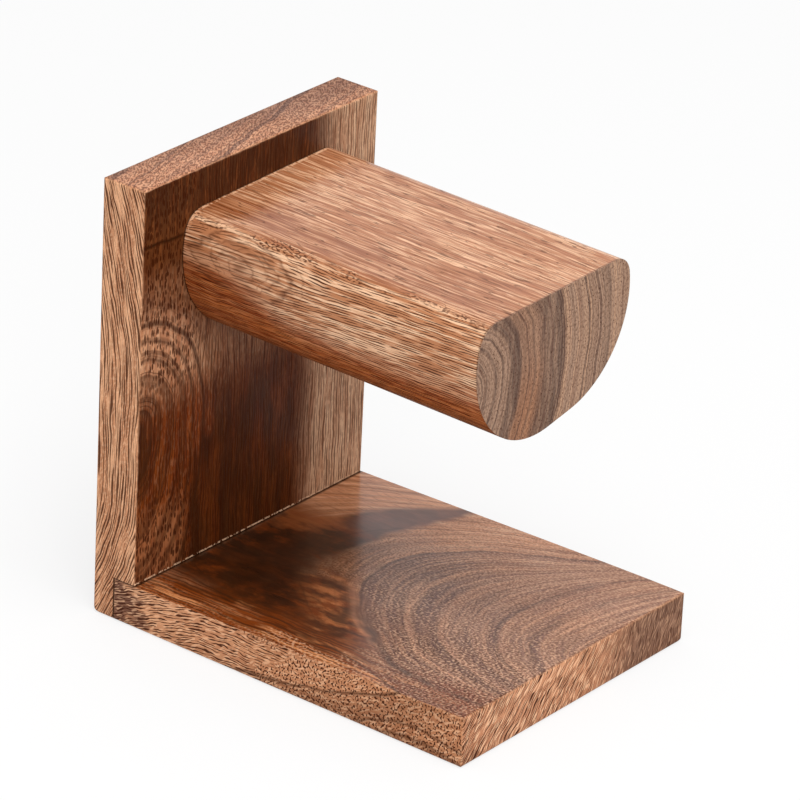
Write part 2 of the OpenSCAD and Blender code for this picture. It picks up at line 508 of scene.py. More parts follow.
def base_rings(tree, place, bent):
    """The base board's growth rings, and how far each place lies across the arches and below the top."""
    # the top falls to the rear, up to the joint
    _, y, z = split(tree, place)
    rise = most(tree, less(tree, JOINT_Y, y), 0.0)
    depth = less(tree, added(tree, rise, BASE_RISE, JOINT_Z), z)

    # the arches close at the front left, and flatten out at the front right
    x, y, _ = split(tree, bent)
    spread_left = fade(tree, y, -24, -50, 0.0245, 0.04, how="LINEAR")
    across = less(tree, x, BASE_ARCH_X)
    along = added(tree, depth, -BASE_DIP, y)
    rough_ring = added(tree, square(tree, across), 0.015, along)
    spread_right = fade(tree, rough_ring, -28, -12, 0.0095, 0.032)
    ring = use(tree, ARCHES, along=along, across=across, spread_low=spread_left, spread_high=spread_right)
    return ring, across, depth


def base_ground(tree, bent, ring, across):
    """The plain wood: amber at the left of the arches, honey at the right, and hues along the rings."""
    x = split(tree, bent)[0]
    ground = mix(tree, fade(tree, x, 6, 26), ASH, between(0.5, ROSE, GOLD))
    ground = mix(tree, fade(tree, x, -16, -30, 0.0, 0.6), ground, ROSE)
    colour = mix(tree, fade(tree, x, -36, -26), GOLD, ground)

    drawn = join(tree, times(tree, ring, 0.7), times(tree, across, 0.06), 2.0)
    hues = cloud(tree, drawn, detail=3.5, roughness=0.6)
    shown = most(tree, fade(tree, ring, 14, 6, 0.05, 0.8), fade(tree, x, 14, 28, 0.0, 0.8))
    colour = laid(tree, fade(tree, hues["Fac"], 0.5, 0.6), shown, colour, between(0.5, ROSE, CREAM))
    duller = times(tree, fade(tree, hues["Fac"], 0.5, 0.38), fade(tree, x, 12, 28, 1.0, 0.5))
    colour = laid(tree, duller, shown, colour, MAUVE)
    redder = fade(tree, split(tree, hues["Color"])[0], 0.5, 0.62)
    return laid(tree, redder, fade(tree, x, -4, 22, 0.2, 0.6), colour, between(0.4, RUSSET, GOLD))


def base_burns(tree, bent, ring, embers, top, up, colour):
    """Rusty and burnt wood at the left of the arches, and an amber patch at the front left corner."""
    rust = lumps(tree, bent, (2.5, 5, 3), detail=4.0, roughness=0.6)
    rust = mix(tree, fade(tree, rust, 0.42, 0.62), AMBER, between(0.35, RUSSET, GOLD))
    colour = laid(tree, embers, fade(tree, ring, 4, 10, 0.3, 1.0), colour, rust)
    burnt = use(tree, FIBRES, bent, turn=ALONG_Y, size=(2.4, 2.4, 9), softness=0.12)
    burnt = times(tree, embers, burnt)
    colour = laid(tree, burnt, fade(tree, ring, 4, 10, 0.1, 0.85), colour, COCOA)
    corner = use(tree, STAIN, bent, centre=(-38, -44, top), reach=(11, 17, 9), grain_size=(3, 6, 4))
    return laid(tree, times(tree, corner, up), 0.85, colour, between(0.5, AMBER, RUSSET))


def base_growth(tree, bent, ring, across, up, colour):
    """Dark bands, pale bands and thin lines along the base board's rings."""
    x, y, _ = split(tree, bent)
    band = mix(tree, fade(tree, x, -20, -6), CHESTNUT, MAUVE)
    colour = laid(tree, card(tree, ring, BASE_BANDS), 0.8, colour, band)
    colour = laid(tree, card(tree, ring, BASE_LIGHTS), 0.7, colour, ROSE)

    # the right side has paler and darker streaks, and is darker in front
    drawn = join(tree, times(tree, ring, 0.33), times(tree, across, 0.05), 5.0)
    glow = cloud(tree, drawn, detail=3.0, roughness=0.6)["Fac"]
    rightmost = fade(tree, x, 16, 30)
    colour = laid(tree, fade(tree, glow, 0.52, 0.64), times(tree, rightmost, 0.6), colour, CREAM)
    colour = laid(tree, fade(tree, glow, 0.48, 0.36), times(tree, rightmost, 0.5), colour, CHESTNUT)
    shaded = times(tree, fade(tree, x, 8, 24), fade(tree, y, -8, -34))
    colour = laid(tree, shaded, 0.5, colour, between(0.5, MAUVE, CHESTNUT))

    pale = use(tree, RING_LINES, calc(tree, "ADD", ring, 7.7), gap=2.3, width=0.09)
    pale = times(tree, pale, up)
    colour = laid(tree, pale, fade(tree, x, 0, 18, 0.0, 0.75), colour, between(0.5, ROSE, CREAM))
    fine = times(tree, use(tree, RING_LINES, ring, gap=1.25, width=0.06), up)
    faint = times(tree, fade(tree, ring, 8, 4, 0.7, 1.0), fade(tree, x, 0, 24, 0.4, 0.75))
    return laid(tree, fine, faint, colour, CHESTNUT)


def heartwood_and_shadow_mask(tree, bent, wisps):
    """Dark heartwood with painted shadow: behind the arches, up to a pale streak at the rear right."""
    x, y, _ = split(tree, bent)
    off = less(tree, x, 5)
    bend = fade(tree, off, -1, 1, 0.0175, 0.0085)
    near = added(tree, square(tree, off), bend, less(tree, y, 15))
    past = most(tree, less(tree, x, 10), 0.0)
    far = added(tree, square(tree, past), 0.024, less(tree, y, 29))
    streak = times(tree, fade(tree, far, -1.5, 2.5), fade(tree, x, 12, 20))
    ragged = less(tree, wisps, 0.5)
    soft = fade(tree, x, -4, 8, 1.0, 0.3)
    near = added(tree, ragged, times(tree, soft, 14.0), near)
    # dark heartwood, with painted shadow laid into it
    heartwood_and_shadow = fade(tree, calc(tree, "DIVIDE", near, soft), -4, 7)
    return times(tree, heartwood_and_shadow, without(tree, streak), fade(tree, added(tree, ragged, 10.0, x), -34, -24))


def heartwood_and_shadow_colours(tree, bent, wisps):
    """The dark area's colours, heartwood with painted shadow: amber wisps, a patch of painted light, and
    mauve at the right.
    """
    x, y, _ = split(tree, bent)
    core = use(tree, STAIN, bent, centre=(-7, 25, 10), reach=(19, 13, 30), ragged=0.7, grain_size=(7, 9, 7))
    glow = times(tree, fade(tree, wisps, 0.4, 0.72), fade(tree, core, 0, 1, 1.0, 0.2))
    colour = mix(tree, glow, COCOA, AMBER)
    # a rusty patch of painted light in the dark area
    painted_light = use(tree, STAIN, bent, centre=(15, 33, 10), reach=(10, 9, 30), ragged=0.7, grain_size=(3, 6, 4))
    colour = laid(tree, painted_light, 0.75, colour, RUSSET)
    return laid(tree, fade(tree, x, 8, 20), fade(tree, y, 30, 22, 0.0, 0.7), colour, MAUVE)


def base_sides(tree, bent, side, ends, colour):
    """The base board's sides: paler than the top, with smoky patches at both ends and a darker foot."""
    x, y, z = split(tree, bent)
    pale = mix(tree, fade(tree, y, 40, -25, 0.4, 0.78), HONEY, TAN)
    colour = mix(tree, side, colour, mix(tree, ends, pale, between(0.45, ROSE, TAN)))
    tail = use(tree, STAIN, bent, centre=(-38.5, 45, 4), reach=(9, 9, 9), ragged=0.9, grain_size=(2, 5, 2))
    colour = laid(tree, tail, 0.9, colour, PLUM)
    colour = laid(tree, times(tree, fade(tree, x, 4, 24), ends), 0.7, colour, SLATE)
    foot = times(tree, side, fade(tree, z, 5, 0))
    return laid(tree, foot, 0.3, colour, CHESTNUT)


def base_streaks(tree, bent, up, colour):
    """Streaks along the base board's grain, strongest down the left margin."""
    x, y, _ = split(tree, bent)
    streaks = use(tree, FIBRES, bent, turn=ALONG_Y, size=(1.1, 1.1, 24), softness=0.1)
    strength = times(tree, fade(tree, x, -22, -34, 0.25, 0.8), blend(tree, up, 0.4, 1.0))
    colour = mix(tree, times(tree, streaks, strength), colour, SHADE, how="MULTIPLY")
    streaks = times(tree, streaks, fade(tree, x, -24, -32))
    colour = laid(tree, streaks, times(tree, up, 0.9), colour, AMBER)
    stripes = use(tree, COMB, bent, across=(0.9, 0, 0), along=(0, 0.05, 0), wobble=0.5)
    stripes = times(tree, stripes, up, fade(tree, y, -34, -10))
    return laid(tree, stripes, fade(tree, x, -22, -31, 0.0, 0.75), colour, WALNUT)


def base_flecks(tree, bent, up, side, ends, quiet, colour):
    """Pale flecks on the base board: most in front of the dark wood, fewer on its sides."""
    x, y, _ = split(tree, bent)
    share = times(tree, fade(tree, y, 14, -4, 0.1, 0.5), fade(tree, x, -10, 10, 1.0, 0.6),
                  fade(tree, quiet, 0.5, 0.1), up)
    colour = fleck(tree, colour, bent, (2.2, 0.7, 0), (-0.5, 1.3, 0), share)
    flank = less(tree, side, ends)
    colour = fleck(tree, colour, bent, (1.3, 0.5, 1.6), (0.5, 0.6, 0.3), times(tree, flank, 0.5))
    glint = times(tree, ends, fade(tree, x, 0, 24, 0.9, 0.25))
    return fleck(tree, colour, bent, (1.7, 0, -0.9), (0, 0, 0.4), glint)


def base_side_pores(tree, bent, ends):
    """Cut fibres on the base board's sides: strokes along the rear, dots in front, lines up its ends."""
    x, y, z = split(tree, bent)
    swept = use(tree, SWEEP, bent, past=less(tree, y, 8), sweep=(0, 0, 0.0063))
    strokes = use(tree, COMB, swept, across=(0, 0, 1.5), along=(0, 0.3, 0), wobble=0.6, width=0.28)
    dots = use(tree, WORMS, bent, across=(0, 2.1, 0.9), along=(0, -0.75, 1.45), level=0.43)
    ragged = less(tree, lumps(tree, bent, (3, 7, 3)), 0.5)
    share = fade(tree, added(tree, ragged, 50.0, y), 6, -2)
    sides = blend(tree, share, strokes, dots)

    # an end is cut across: steep lines on the left, upright ones on the right
    lean = fade(tree, x, 4, 24, 0.95, 0.1)
    leaned = join(tree, less(tree, x, times(tree, lean, z)), y, z)
    lines = use(tree, COMB, leaned, across=(1.4, 0, 0), along=(0, 0, 0.24), wobble=0.9)
    return blend(tree, ends, sides, times(tree, lines, fade(tree, x, -10, 24, 1.0, 0.7)))


def base_top_pores(tree, bent, quiet):
    """Cut fibres on the base board's top: winding ones in front, long nicks at the rear and left margin."""
    x, y, _ = split(tree, bent)
    worms = use(tree, WORMS, bent, across=(2.4, 0.8, 0), along=(-0.6, 1.5, 0), level=0.47)
    long = use(tree, NICKS, bent, across=(1.5, 0, 0), along=(0, 0.22, 0), fill=0.26)
    margin = times(tree, fade(tree, x, -26, -31), fade(tree, y, -28, -14))
    share = times(tree, fade(tree, added(tree, x, 0.3, y), 34, 18), fade(tree, quiet, 0.9, 0.0),
                  fade(tree, x, -22, 2, 1.0, 0.65), fade(tree, x, 14, 30, 1.0, 0.55), without(tree, margin))
    return blend(tree, share, times(tree, long, fade(tree, quiet, 0.5, 0.0, 0.1, 0.4)), worms)


def base_lines(tree, bent, ring, depth, up, normal, colour):
    """The base board's strong dark lines, broken here and there."""
    x, y, z = split(tree, bent)
    broken = fade(tree, lumps(tree, bent, (5, 5, 5), detail=3.0), 0.38, 0.6, 0.35, 1.0)
    broad = calc(tree, "ABSOLUTE", less(tree, ring, BASE_OUTER_RING))
    broad = times(tree, fade(tree, broad, 3.0, 0.6), fade(tree, x, -8, -22))
    lines = times(tree, most(tree, card(tree, ring, BASE_LINES), broad), broken)
    colour = laid(tree, lines, times(tree, up, 0.75), colour, WALNUT)

    # one line wavers down the left margin and over the edge, and a second one arches along the side
    margin = added(tree, y, -0.1, x)
    margin = added(tree, square(tree, least(tree, y, 0.0)), 0.004, margin)
    margin = added(tree, depth, 0.9, margin)
    colour = mix(tree, card(tree, margin, MARGIN_LINE), colour, WALNUT)
    off = calc(tree, "ADD", y, 38)
    arch = use(tree, ARCHES, along=z, across=off, spread_low=0.012, spread_high=0.0206)
    arch = times(tree, card(tree, arch, SIDE_LINES), facing(tree, normal, LEFT))
    return laid(tree, arch, 0.75, colour, WALNUT)


def base_crack_shade(tree, place, normal, colour):
    """Painted shade along the gap where the back board stands on the base board."""
    _, y, z = split(tree, place)
    # painted shade in the gaps at the back board's front and at the lip
    crack_shade = times(tree, facing(tree, normal, UP), fade(tree, y, JOINT_Y - 0.7, JOINT_Y - 0.2))
    crack_shade = most(tree, crack_shade, fade(tree, y, LIP_Y - 0.3, LIP_Y - 0.1))
    under = times(tree, fade(tree, y, JOINT_Y - 0.2, JOINT_Y), fade(tree, z, JOINT_Z - 0.2, JOINT_Z - 0.1))
    return laid(tree, most(tree, crack_shade, under), 0.8, colour, COCOA)


def base_wood():
    """The base board's finish."""
    material, tree, place, normal = new_material("base_wood")
    low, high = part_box("base_plate")
    top = high.z * MM
    bent = use(tree, WANDER, place, size=(20, 16, 9), reach=1.3)
    bent = use(tree, WANDER, bent, size=(3, 3, 3), reach=0.4)
    up = facing(tree, normal, UP, both=True)
    side = without(tree, up)
    ends = facing(tree, normal, FRONT, both=True)
    ring, across, depth = base_rings(tree, place, bent)

    embers = use(tree, STAIN, bent, centre=(-21, 6, top), reach=(16, 34, 12), ragged=0.7,
                 grain_size=(4, 12, 4))
    wisps = lumps(tree, bent, (4, 9, 5), detail=5.0, roughness=0.65, twist=0.3)
    # the dark area at the rear: heartwood, with painted shadow in it
    heartwood_and_shadow = heartwood_and_shadow_mask(tree, bent, wisps)
    quiet = most(tree, heartwood_and_shadow, times(tree, embers, fade(tree, ring, 2, 8, 0.3, 0.9)))

    colour = base_ground(tree, bent, ring, across)
    colour = base_burns(tree, bent, ring, embers, top, up, colour)
    colour = base_growth(tree, bent, ring, across, up, colour)
    # lay the dark heartwood and its painted shadow
    colour = laid(tree, heartwood_and_shadow, 0.96, colour, heartwood_and_shadow_colours(tree, bent, wisps))
    colour = base_sides(tree, bent, side, ends, colour)
    colour = base_streaks(tree, bent, up, colour)
    colour = base_flecks(tree, bent, up, side, ends, quiet, colour)
    pores = blend(tree, up, base_side_pores(tree, bent, ends), base_top_pores(tree, bent, quiet))
    colour = laid(tree, pores, blend(tree, up, 0.95, 0.72), colour, PORE)
    colour = base_lines(tree, bent, ring, depth, up, normal, colour)
    colour = base_crack_shade(tree, place, normal, colour)
    colour = worn_and_lit(tree, place, low, high, 0.3, colour)
    oiled(tree, colour, place, pores, blend(tree, up, 0.15, 0.84))
    return material


# Back board: rings close about a heart at the left edge, and the middle is dark and straight

BACK_HEART = (-39.0, 39.0, 46.0)
BACK_RINGS = [(0, .5), (.1, .8), (.15, .2), (.21, .8), (.26, .1), (.33, .7), (.38, .1), (.47, .6), (.52, .1),
              (.63, .1), (.67, .75), (.71, .1), (.8, .0), (.83, .6), (.87, .0), (.95, .1), (.975, .85),
              (.995, .85), (1.02, .1), (1.15, .2), (1.25, .1), (1.6, .3), (2.0, .2)]
GROWTH_LINE = [(80, 0), (86.9, 0), (87.7, 1), (88.3, 0), (100, 0)]


def back_ground(tree, bent, ring):
    """The plain wood: amber at the left, tan inside the arch and dark red-brown above it."""
    x, _, z = split(tree, bent)
    colour = mix(tree, fade(tree, z, 46, 60), AMBER, between(0.55, TAN, HONEY))
    colour = fleck(tree, colour, bent, (2.0, 0, 0), (0, 0, 0.5), fade(tree, z, 46, 56, 0.1, 0.35), DUN)
    colour = laid(tree, fade(tree, ring, 1.0, 1.2), fade(tree, z, 50, 64, 0.25, 0.65), colour, CHESTNUT)
    pale = times(tree, fade(tree, z, 70, 74), fade(tree, z, 80, 77))
    colour = laid(tree, pale, 0.35, colour, ASH)
    colour = laid(tree, fade(tree, x, 12, 24), 0.95, colour, DUN)
    high_up = times(tree, fade(tree, z, 77, 85), fade(tree, x, 30, 14))
    colour = laid(tree, high_up, 0.9, colour, mix(tree, fade(tree, z, 86, 98), CHESTNUT, WALNUT))
    flame = use(tree, STAIN, bent, centre=(-38.5, 39, 40.5), reach=(5.2, 6, 11), grain_size=(1.2, 1.5, 7))
    colour = laid(tree, flame, 0.8, colour, WALNUT)
    return laid(tree, fade(tree, z, 30, 20), fade(tree, x, -20, -27, 0.0, 0.6), colour, TAN)


def back_heartwood_and_shadow(tree, bent, front, colour):
    """The dark middle, partly heartwood and partly painted shadow under the bar, with embers in it and a
    ragged left border, and faint gleams all over.
    """
    x, _, z = split(tree, bent)
    ragged = less(tree, lumps(tree, bent, (3, 4, 14), detail=3.0), 0.5)
    border = added(tree, ragged, 16.0, less(tree, x, fade(tree, z, 32, 42, -23, -15)))
    # the dark middle: heartwood, with painted shadow under the bar
    dark = times(tree, fade(tree, border, -2, 4), fade(tree, x, 22, 10), fade(tree, z, 62, 40))
    embers = use(tree, FIBRES, bent, size=(4, 4, 16), level=0.54, softness=0.14)
    heartwood = mix(tree, times(tree, embers, 0.5), between(0.2, COCOA, CHESTNUT), AMBER)
    colour = laid(tree, dark, 0.9, colour, heartwood)
    gleams = use(tree, FIBRES, bent, size=(0.7, 0.7, 9), level=0.56, softness=0.1)
    strength = times(tree, front, fade(tree, dark, 0.0, 0.8, 0.3, 0.1))
    return laid(tree, gleams, strength, colour, RUSSET)


def back_lines(tree, bent, ring, colour):
    """Rings about the heart, and a growth line that runs from the left edge to the bar."""
    x, _, z = split(tree, bent)
    fine = use(tree, RING_LINES, ring, gap=0.07, width=0.08)
    colour = laid(tree, fine, fade(tree, ring, 1.5, 0.9, 0.0, 0.75), colour, WALNUT)
    colour = laid(tree, card(tree, ring, BACK_RINGS), 0.95, colour, WALNUT)
    line = card(tree, added(tree, x, 0.03, z), GROWTH_LINE)
    return mix(tree, times(tree, line, fade(tree, x, -22, -28)), colour, COCOA)


def back_edges(tree, bent, front, crown, colour):
    """The edges are pale, and the crown is cut across, greyer to the rear."""
    x, y, _ = split(tree, bent)
    colour = mix(tree, front, HONEY, colour)
    colour = mix(tree, crown, colour, between(0.15, ROSE, TAN))
    rear = times(tree, crown, fade(tree, added(tree, x, 0.09, y), 41, 50))
    colour = laid(tree, rear, 0.5, colour, PLUM)
    growth = use(tree, RING_LINES, added(tree, x, -0.26, y), gap=1.5, width=0.1)
    return laid(tree, growth, times(tree, crown, 0.75), colour, PLUM)


def back_pores(tree, bent, front, crown):
    """Where the back board's fibres are cut: combed lines down the edges, and short dashes on the front."""
    x, _, z = split(tree, bent)
    swept = use(tree, SWEEP, bent, past=less(tree, z, 50), sweep=(0, -0.0033, 0))
    swept = use(tree, SWEEP, swept, past=less(tree, 36, z), sweep=(0, -0.0085, 0))
    combed = use(tree, COMB, swept, across=(0, 1.4, 0), along=(0, 0, 0.085), wobble=0.6)
    nicks = use(tree, COMB, swept, across=(0, 2.6, 0), along=(0, 0, 0.2), wobble=0.8)
    edges = most(tree, combed, times(tree, nicks, 0.5))
    dashes = use(tree, NICKS, bent, across=(1.6, 0, 0), along=(0, 0, 0.48), fill=0.5)
    long = use(tree, COMB, bent, across=(1.2, 0, 0), along=(0, 0, 0.1), wobble=0.45, width=0.22)
    middle = times(tree, fade(tree, z, 26, 32), fade(tree, z, 58, 50))
    middle = most(tree, middle, fade(tree, x, -24, -16))
    lined = most(tree, times(tree, long, 0.8), times(tree, dashes, 0.35))
    pores = blend(tree, front, edges, blend(tree, middle, dashes, lined))
    specks = use(tree, WORMS, bent, across=(1.6, -2.2, 0), along=(0.7, 0.7, 0), level=0.49)
    return blend(tree, crown, pores, times(tree, specks, 0.65))


def back_foot(tree, place, normal, colour):
    """The foot's eased edge is a little torn and carries a painted highlight, and painted shade lies behind
    it as a dark line.
    """
    _, y, z = split(tree, place)
    torn = lumps(tree, place, (0.7, 2, 0.5))
    # a painted highlight along the foot's eased edge
    painted_light = times(tree, fade(tree, z, JOINT_Z + 0.7, JOINT_Z + 0.5), fade(tree, torn, 0.46, 0.52))
    colour = laid(tree, times(tree, painted_light, facing(tree, normal, FRONT)), 0.9, colour, DUN)
    # painted shade in the gap under the foot
    seam_shade = times(tree, fade(tree, z, JOINT_Z + 0.25, JOINT_Z + 0.1), fade(tree, y, LIP_Y + 0.3, LIP_Y + 0.2))
    return laid(tree, seam_shade, 0.85, colour, COCOA)


def back_wood():
    """The back board's finish."""
    material, tree, place, normal = new_material("back_wood")
    low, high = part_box("back_panel")
    bent = use(tree, WANDER, place, size=(10, 9, 22), reach=1.4)
    bent = use(tree, WANDER, bent, size=(3, 3, 5), reach=0.3)
    front = facing(tree, normal, FRONT, both=True)
    crown = facing(tree, normal, UP, both=True)
    ring = use(tree, HEARTED_RINGS, bent, heart=BACK_HEART, reach_low=(22, 30, 48), reach_high=(22, 30, 25))

    colour = back_ground(tree, bent, ring)
    colour = back_heartwood_and_shadow(tree, bent, front, colour)
    colour = back_lines(tree, bent, ring, colour)
    colour = back_edges(tree, bent, front, crown, colour)
    streaks = use(tree, FIBRES, bent, size=(1.3, 1.3, 24), softness=0.12)
    colour = mix(tree, times(tree, streaks, 0.5), colour, SHADE, how="MULTIPLY")
    sides = without(tree, most(tree, front, crown))
    colour = fleck(tree, colour, bent, (1.0, 2.2, 0.3), (0.3, 0.4, 1.2), times(tree, sides, 0.4))
    pores = back_pores(tree, bent, front, crown)
    colour = laid(tree, pores, 0.9, colour, PORE)
    colour = back_foot(tree, place, normal, colour)
    colour = worn_and_lit(tree, place, low, high, 0.35, colour)
    oiled(tree, colour, place, pores, blend(tree, crown, 0.06, 0.45))
    return material


# Bar: straight grain to the front, rings about a heart outside its left side

BAR_END_Y = -39.5
BAR_HEART = (-31.0, 0.0, 77.0)
BAR_RINGS = [(6.8, .0), (7.2, .7), (7.7, .1), (9, .7), (9.4, .1), (11.5, .2), (12, 1), (12.6, .2), (14, .1),
             (14.4, .7), (14.9, .1), (16, .15), (17.2, .9), (18.5, .7), (20, .95), (21.2, .25), (26, .25),
             (28.5, .7), (33, .8), (35.8, .95), (36.7, .0), (37.8, .0), (38.2, .6), (38.7, .0), (42.9, .05),
             (43.3, .95), (43.9, .1), (46.9, .05), (47.3, .6), (47.7, .0), (51, .5), (51.4, .0)]
BAR_RED = [(-26, .45), (-21, .45), (-18, .8), (-13, .7), (-9, .2), (8, .1), (14, .3), (26, .25)]
BAR_WARM = [(0, 0), (19, 0), (21.5, .9), (27, .8), (31, .0), (60, 0)]
KNOT = (-25.0, 23.5, 86.0)
KNOT_RINGS = [(0, .9), (.1, .8), (.2, .3), (.27, .2), (.31, .8), (.36, .2), (.5, .1), (.53, .6), (.57, .1),
              (.66, .2), (.7, .7), (.74, .1), (.88, .0), (.97, .9), (1.04, .1), (1.25, .0), (1.29, .5),
              (1.33, .0), (2, 0)]


def bar_ground(tree, bent, flat):
    """The ground colour: cream with redder streaks at the top's left, sides dun above and amber below, the
    lower sides partly painted shade and warm bounce light.
    """
    x, y, z = split(tree, bent)
    red = times(tree, card(tree, x, BAR_RED), fade(tree, y, 34, -20, 1.0, 0.5))
    top = mix(tree, red, CREAM, between(0.5, RUSSET, TAN))
    # the lower sides grow amber: partly the wood, partly painted warm bounce light
    low_side = fade(tree, less(tree, z, fade(tree, y, 8, 30, 76, 85)), 5, -5)
    flank = mix(tree, low_side, DUN, RUSSET)
    lightest = times(tree, fade(tree, y, 22, 32), fade(tree, z, 86, 89))
    flank = laid(tree, lightest, 0.6, flank, CREAM)
    # the bottom is darker: partly the wood, partly painted shade
    flank = laid(tree, fade(tree, z, 70, 64), 0.8, flank, CHESTNUT)
    return mix(tree, flat, flank, top)


def knot_rings(tree, bent):
    """Uneven rings about the knot in the bar's left side, 1 at its rim."""
    rings = use(tree, HEARTED_RINGS, bent, heart=KNOT, reach_low=(9, 13, 7), reach_high=(9, 13, 6))
    uneven = less(tree, lumps(tree, bent, (3, 7, 3)), 0.5)
    return added(tree, uneven, 0.7, rings)


def bar_knot(tree, normal, flat, knot, colour):
    """The knot: a warm core with dark ovals round it."""
    oval = card(tree, knot, KNOT_RINGS)
    side = times(tree, facing(tree, normal, LEFT, 0.5, 0.8), without(tree, flat))
    colour = laid(tree, times(tree, fade(tree, knot, 0.8, 0.1), side), 0.3, colour, RUSSET)
    return laid(tree, times(tree, oval, side), 0.7, colour, between(0.5, CHESTNUT, PLUM))


def bar_grain(tree, bent, flat, colour):
    """Straight grain down the bar: soft streaks, tan threads, and dusky lines on the top."""
    x = split(tree, bent)[0]
    streaks = use(tree, FIBRES, bent, turn=ALONG_Y, size=(0.8, 0.8, 20), softness=0.08)
    colour = mix(tree, times(tree, streaks, 0.9), colour, SHADE, how="MULTIPLY")
    threads = use(tree, FIBRES, bent, turn=ALONG_Y, size=(0.33, 0.33, 7), level=0.54, softness=0.05)
    colour = laid(tree, threads, blend(tree, flat, 0.4, 0.9), colour, TAN)
    dusk = use(tree, COMB, bent, across=(0.75, 0, 0), along=(0, 0.05, 0), wobble=0.6, width=0.25)
    dusk = times(tree, dusk, flat, fade(tree, x, 6, -12, 0.45, 0.8))
    return mix(tree, dusk, colour, between(0.4, RUSSET, CHESTNUT))


def bar_pores(tree, bent, normal, flat, end, knot):
    """Where the bar's fibres are cut: thin lines on top, dashes that part round the knot, pits in its end."""
    x, y, z = split(tree, bent)
    thin = use(tree, COMB, bent, across=(1.3, 0, 0), along=(0, 0.12, 0), wobble=1.2, width=0.13)
    around = fade(tree, knot, 2.4, 0.6, 0.0, 0.32)
    parted = join(tree, x, y, added(tree, less(tree, KNOT[2], z), around, z))
    dashes = use(tree, COMB, parted, across=(0.3, 0.05, 1.9), along=(0, 0.2, 0), wobble=0.35, width=0.24)
    dashes = times(tree, dashes, fade(tree, knot, 0.85, 1.15, 0.7, 1.0))
    under = use(tree, COMB, bent, across=(1.9, 0.05, 0), along=(0, 0.2, 0), wobble=0.35, width=0.24)
    dashes = blend(tree, facing(tree, normal, DOWN, 0.6, 0.85), dashes, under)
    dashes = times(tree, dashes, facing(tree, normal, RIGHT, 0.2, 0.7, 1.0, 0.6))
    pores = blend(tree, flat, dashes, times(tree, thin, 0.65))

    # a rough row of torn fibres along the left shoulder
    row = times(tree, fade(tree, x, -21.4, -22), fade(tree, z, 90.8, 91.4),
                fade(tree, lumps(tree, bent, (3, 7, 3)), 0.4, 0.6, 0.1, 0.9))
    torn = use(tree, WORMS, bent, across=(2.4, 0, 2.4), along=(0, 1.1, 0), level=0.47)
    pores = blend(tree, row, pores, torn)

    # a few open pits in the end
    pits = use(tree, NICKS, bent, across=(0.8, 0, 0), along=(0, 0, 0.8), fill=0.14)
    grit = use(tree, WORMS, bent, across=(2.4, 0, 0), along=(0, 0, 1.3), level=0.46)
    return blend(tree, end, pores, most(tree, pits, times(tree, grit, 0.35)))


def bar_end(tree, bent, end, colour):
    """The end is cut across: greyer, with smudged rings and hairlines."""
    z = split(tree, bent)[2]
    ring = use(tree, HEARTED_RINGS, bent, heart=BAR_HEART, reach_low=(1, 400, 1.3), reach_high=(1, 400, 1))
    colour = mix(tree, end, colour, DRIFT)
    warm = times(tree, card(tree, ring, BAR_WARM), fade(tree, z, 84, 68, 0.4, 1.0), end)
    colour = laid(tree, warm, 0.8, colour, TAN)
    smudge = lumps(tree, bent, (0.9, 9, 16))
    smudge = times(tree, end, fade(tree, smudge, 0.36, 0.6, 0.5, 0.95))
    colour = laid(tree, card(tree, ring, BAR_RINGS), smudge, colour, SLATE)
    fine = use(tree, RING_LINES, ring, gap=0.8, width=0.08)
    colour = laid(tree, fine, times(tree, smudge, 0.9), colour, PLUM)
    hairs = use(tree, RING_LINES, ring, gap=0.5, width=0.1)
    colour = laid(tree, hairs, times(tree, end, 0.6), colour, SLATE)
    bright = use(tree, RING_LINES, calc(tree, "ADD", ring, 9.3), gap=0.9, width=0.07)
    return laid(tree, bright, times(tree, end, fade(tree, ring, 30, 38, 0.1, 0.5)), colour, CREAM)


def bar_chips_highlight_and_shade(tree, place, joint, end, colour):
    """Pale chipped fibres and a painted highlight where the bar meets the back board, painted shade in the
    gap there, and painted shade round its end's rim.
    """
    _, y, z = split(tree, place)
    # chipped fibres along the rear edge, partly a painted highlight
    chips_and_highlight = lumps(tree, place, (0.9, 1.2, 0.9))
    chips_and_highlight = times(tree, fade(tree, chips_and_highlight, 0.48, 0.54), fade(tree, y, joint - 1.1, joint - 0.9),
                  fade(tree, z, 88, 91))
    colour = laid(tree, chips_and_highlight, 0.8, colour, CREAM)
    # painted shade in the gap at the back board, and lighter painted shade round the end's rim
    seam_shade = fade(tree, y, joint - 0.4, joint - 0.2)
    rim = times(tree, fade(tree, y, BAR_END_Y + 0.3, BAR_END_Y), without(tree, end))
    return laid(tree, most(tree, seam_shade, times(tree, rim, 0.5)), 0.9, colour, COCOA)


def bar_wood():
    """The bar's finish."""
    material, tree, place, normal = new_material("bar_wood")
    _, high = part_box("watch_bar")
    bent = use(tree, WANDER, place, size=(12, 50, 12), reach=1.2)
    bent = use(tree, WANDER, bent, size=(2.4, 9, 2.4), reach=0.25)
    end = facing(tree, normal, FRONT, 0.6, 0.85)
    flat = facing(tree, normal, UP, 0.8, 0.97)
    knot = knot_rings(tree, bent)

    colour = bar_ground(tree, bent, flat)
    colour = bar_knot(tree, normal, flat, knot, colour)
    colour = bar_grain(tree, bent, flat, colour)
    colour = bar_end(tree, bent, end, colour)
    pores = bar_pores(tree, bent, normal, flat, end, knot)
    colour = laid(tree, pores, 0.9, colour, PORE)
    colour = bar_chips_highlight_and_shade(tree, place, high.y * MM, end, colour)
    oiled(tree, colour, place, pores, blend(tree, flat, 0.15, 0.8))
    return material


# Screws

